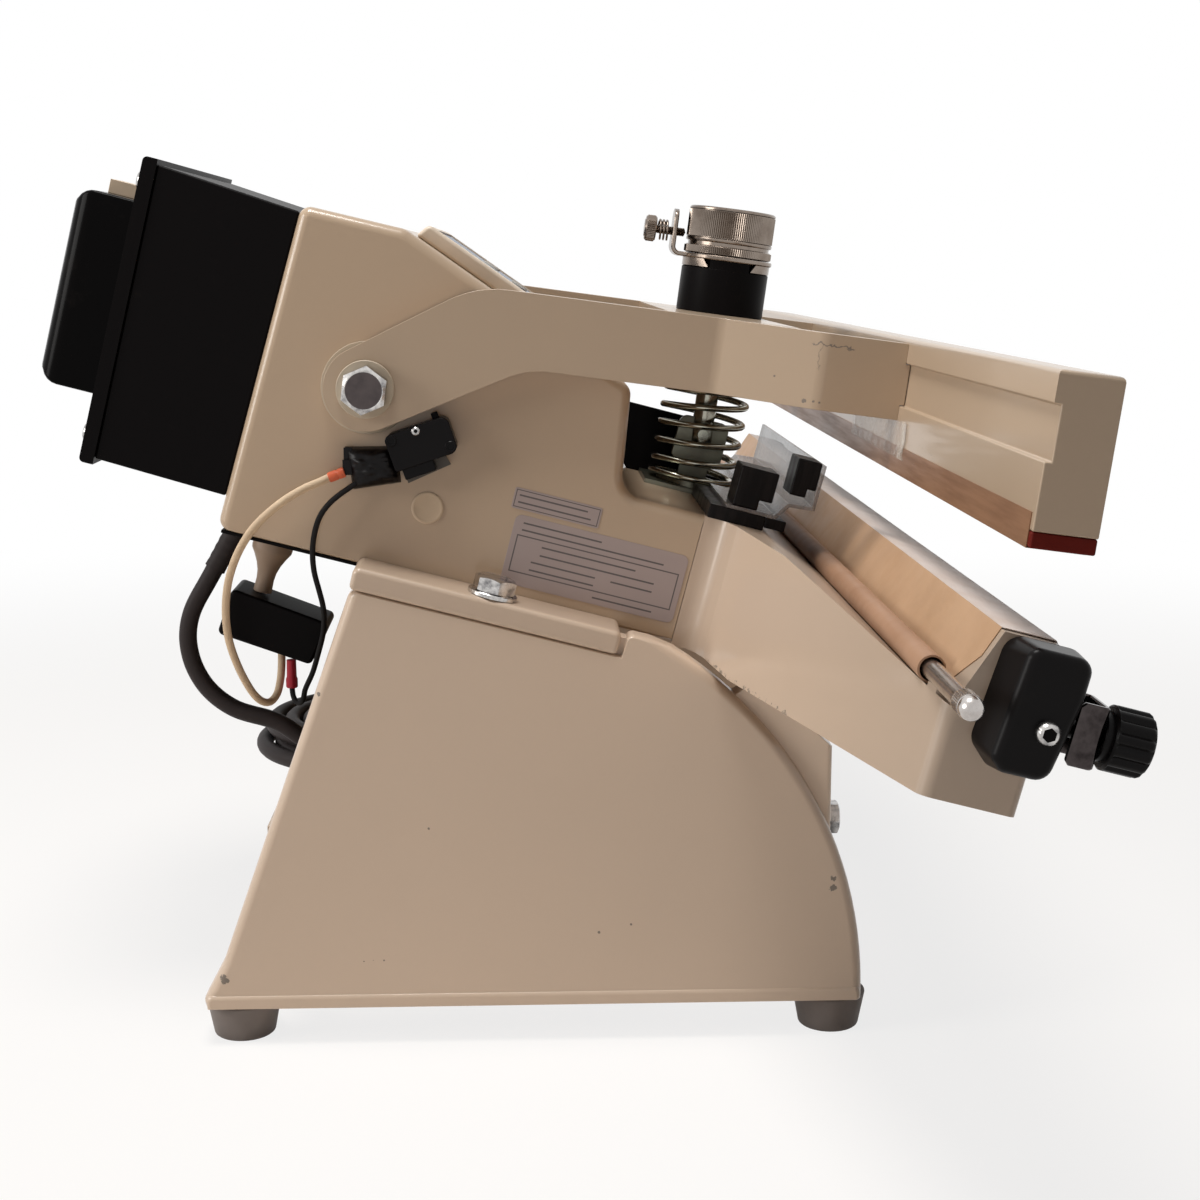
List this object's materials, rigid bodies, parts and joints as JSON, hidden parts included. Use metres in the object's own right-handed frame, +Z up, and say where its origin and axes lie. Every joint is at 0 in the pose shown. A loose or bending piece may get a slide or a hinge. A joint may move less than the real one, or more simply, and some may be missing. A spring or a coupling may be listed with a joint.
{
  "type": "impulse sealer",
  "caption": "Bench impulse sealer with a forked sprung arm, a long pressing bar over a heated sealing beam, a tilted body on a cheeked base and a coiled mains lead.",
  "frame": {"origin": "middle of the object's box at the table, under the feet", "axes": "+X towards the operator's side of the jaw, +Y along the bars away from the picture's camera, +Z up"},
  "size_m": [0.3994, 0.744, 0.3719],
  "materials": {
    "cream_paint": "cream gloss enamel on steel and cast metal",
    "cream_aluminium": "cream gloss enamel on aluminium",
    "cream_plastic": "cream moulded plastic",
    "foot_rubber": "grey brown rubber",
    "steel": "zinc plated steel",
    "plate_metal": "bare satin plate",
    "black_plastic": "black moulded plastic",
    "panel_film": "printed membrane",
    "board": "coated circuit board",
    "core_steel": "varnished core and winding",
    "zinc_steel": "passivated zinc, greenish",
    "nickel": "nickel plate, knurled",
    "red_silicone": "dark red silicone",
    "brown_tape": "coated glass cloth tape",
    "tan_sheet": "coated glass cloth",
    "clear_plastic": "clear folded plastic",
    "red_plastic": "red insulation",
    "pale_sleeve": "pale woven sleeve",
    "black_cord": "black flexible cord"
  },
  "bodies": {
    "frame": {"base_shell": "cream_paint", "cord_tray": "cream_paint", "rubber_feet": "foot_rubber", "front_bolts": "steel", "seat_frame": "cream_paint", "seat_bolts": "steel", "body_housing": "cream_paint", "side_plugs": "cream_plastic", "rating_plate": "plate_metal", "rear_housing": "black_plastic", "rear_panel": "black_plastic", "rear_cover": "black_plastic", "rear_screws": "steel", "wire_clamp": "cream_plastic", "panel_bezel": "cream_plastic", "panel_film": "panel_film", "circuit_board": "board", "transformer": "core_steel", "solenoid": "core_steel", "return_spring": "zinc_steel", "spring_seat": "zinc_steel", "back_plate": "black_plastic", "pivot_bolts": "steel", "pivot_discs": "cream_plastic", "lower_beam": "cream_aluminium", "heater_ribbon": "steel", "release_sheet": "tan_sheet", "sheet_clamp": "steel", "end_blocks": "black_plastic", "end_brackets": "steel", "guard_strip": "clear_plastic", "guard_blocks": "black_plastic", "switch_body": "black_plastic", "pale_wire": "pale_sleeve", "black_wire": "black_cord", "wire_caps": "red_plastic", "junction_box": "black_plastic", "cord_gland": "cream_plastic", "mains_lead": "black_cord", "mains_coil": "black_cord", "cord_tie": "black_plastic", "mains_plug": "black_plastic"},
    "arm": {"arm_casting": "cream_paint", "upper_bar": "cream_aluminium", "press_rubber": "red_silicone", "press_tape": "brown_tape", "pressure_sleeve": "black_plastic", "pull_rod": "zinc_steel", "lock_bracket": "nickel"},
    "knob": {"pressure_knob": "nickel", "pressure_ring": "nickel"},
    "lock": {"lock_screw": "nickel"},
    "plunger": {"plunger": "steel", "pull_link": "steel"},
    "button": {"switch_button": "red_plastic"},
    "near_knob": {"end_knob_near": "black_plastic"},
    "far_knob": {"end_knob_far": "black_plastic"},
    "roll": {"sheet_roll": "tan_sheet", "roll_rod": "steel"},
    "rocker": {"power_rocker": "black_plastic"}
  },
  "joints": [
    {"name": "arm_close", "type": "hinge", "parent": "frame", "child": "arm", "pos_m": [-0.058, 0, 0.278], "axis": [0, 1, 0], "range_deg": [0, 7], "stiffness_Nm_per_rad": 60, "springref_deg": -22.92, "deforming": ["return_spring"]},
    {"name": "plunger_pull", "type": "slide", "parent": "frame", "child": "plunger", "axis": [-0.2504, 0, -0.9681], "range_m": [0, 0.0187]},
    {"name": "button_press", "type": "slide", "parent": "frame", "child": "button", "axis": [0.3173, 0, -0.9483], "range_m": [0, 0.0018]},
    {"name": "knob_turn", "type": "hinge", "parent": "arm", "child": "knob", "pos_m": [0.0927, 0, 0.25816], "axis": [0.1305, 0, 0.9914], "continuous": true},
    {"name": "lock_turn", "type": "hinge", "parent": "arm", "child": "lock", "pos_m": [-0.04719, 0, 0.36009], "axis": [0.9914, 0, -0.1305], "continuous": true},
    {"name": "near_knob_turn", "type": "hinge", "parent": "frame", "child": "near_knob", "pos_m": [0.16737, -0.34, 0.1909], "axis": [0.9681, 0, -0.2504], "continuous": true},
    {"name": "far_knob_turn", "type": "hinge", "parent": "frame", "child": "far_knob", "pos_m": [0.16737, 0.34, 0.1909], "axis": [0.9681, 0, -0.2504], "continuous": true},
    {"name": "roll_turn", "type": "hinge", "parent": "frame", "child": "roll", "pos_m": [0.13572, 0, 0.2027], "axis": [0, 1, 0], "continuous": true},
    {"name": "rocker_tip", "type": "hinge", "parent": "frame", "child": "rocker", "pos_m": [0.0228, 0, 0.3053], "axis": [0, 1, 0], "range_deg": [0, 16]}
  ],
  "couplings": [
    {"joint": "plunger_pull", "follows": "arm_close", "m_per_rad": 0.15219},
    {"joint": "button_press", "follows": "arm_close", "m_per_rad": 0.0147}
  ]
}
